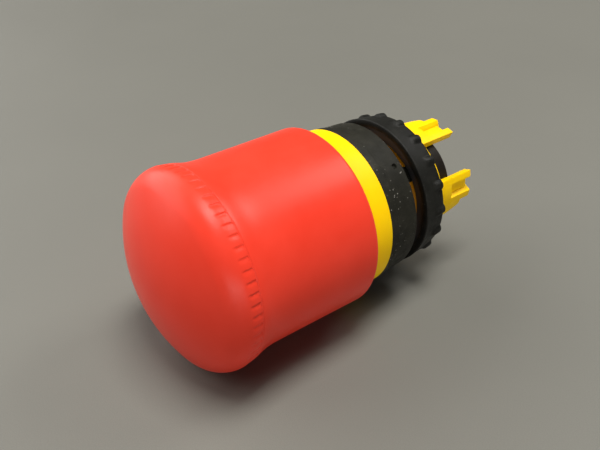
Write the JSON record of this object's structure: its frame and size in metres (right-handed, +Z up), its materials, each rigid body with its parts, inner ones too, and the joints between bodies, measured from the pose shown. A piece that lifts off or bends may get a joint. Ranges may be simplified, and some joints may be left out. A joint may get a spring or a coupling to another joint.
{
  "type": "emergency stop button",
  "caption": "Pull-to-release emergency stop push button with a red mushroom head, yellow collar, black bezel and ring nut, for a round panel hole.",
  "frame": {"origin": "on the button's axis, at the plane of the bezel's gasket that seats on the panel", "axes": "+Y along the axis from the head towards the rear of the panel, +Z up as it lies on a table, +X to its side; the orientation key is 48 degrees from +Z towards +X"},
  "size_m": [0.038, 0.0686, 0.038],
  "materials": {
    "red_plastic": "fine satin",
    "yellow_plastic": "smooth moulded",
    "black_plastic": "matt, dusty",
    "nut_plastic": "matt",
    "black_rubber": "matt",
    "dark_nylon": "moulded",
    "pale_nylon": "moulded",
    "tan_nylon": "moulded",
    "spring_steel": "drawn",
    "plated_steel": "zinc plated"
  },
  "bodies": {
    "housing": {"body_housing": "yellow_plastic", "guide_cap": "dark_nylon", "stem_seal": "black_rubber", "bezel_ring": "black_plastic", "panel_gasket": "black_rubber", "latch_carrier": "pale_nylon", "main_spring": "spring_steel", "pawl_spring_a": "spring_steel", "pawl_spring_b": "spring_steel", "pawl_spring_c": "spring_steel"},
    "head": {"mushroom_dome": "red_plastic", "pull_skirt": "red_plastic", "head_core": "dark_nylon", "core_screw": "plated_steel", "actuator_stem": "pale_nylon", "plunger_sleeve": "black_plastic", "stem_clip": "spring_steel"},
    "pawl_a": {"latch_pawl_a": "tan_nylon"},
    "pawl_b": {"latch_pawl_b": "tan_nylon"},
    "pawl_c": {"latch_pawl_c": "tan_nylon"},
    "nut_ring": {"nut_slip_ring": "dark_nylon"},
    "nut": {"ring_nut": "nut_plastic"}
  },
  "joints": [
    {"name": "head_press", "type": "slide", "parent": "housing", "child": "head", "axis": [0, 1, 0], "range_m": [0, 0.0055], "deforming": ["main_spring"]},
    {"name": "pawl_a_slide", "type": "slide", "parent": "housing", "child": "pawl_a", "axis": [0, 0, 1], "range_m": [-0.0012, 0], "deforming": ["pawl_spring_a"]},
    {"name": "pawl_b_slide", "type": "slide", "parent": "housing", "child": "pawl_b", "axis": [0.866, 0, -0.5], "range_m": [-0.0012, 0], "deforming": ["pawl_spring_b"]},
    {"name": "pawl_c_slide", "type": "slide", "parent": "housing", "child": "pawl_c", "axis": [-0.866, 0, -0.5], "range_m": [-0.0012, 0], "deforming": ["pawl_spring_c"]},
    {"name": "nut_travel", "type": "slide", "parent": "housing", "child": "nut_ring", "axis": [0, 1, 0], "range_m": [-0.0016, 0.00335]},
    {"name": "nut_spin", "type": "hinge", "parent": "nut_ring", "child": "nut", "pos_m": [0, 0.005, 0], "axis": [0, 1, 0], "range_deg": [-384.01, 804.01]}
  ],
  "couplings": [
    {"joint": "pawl_a_slide", "follows": "head_press", "ratio": -0.2},
    {"joint": "pawl_b_slide", "follows": "head_press", "ratio": -0.2},
    {"joint": "pawl_c_slide", "follows": "head_press", "ratio": -0.2},
    {"joint": "nut_spin", "follows": "nut_travel", "rad_per_m": 4188.8}
  ]
}
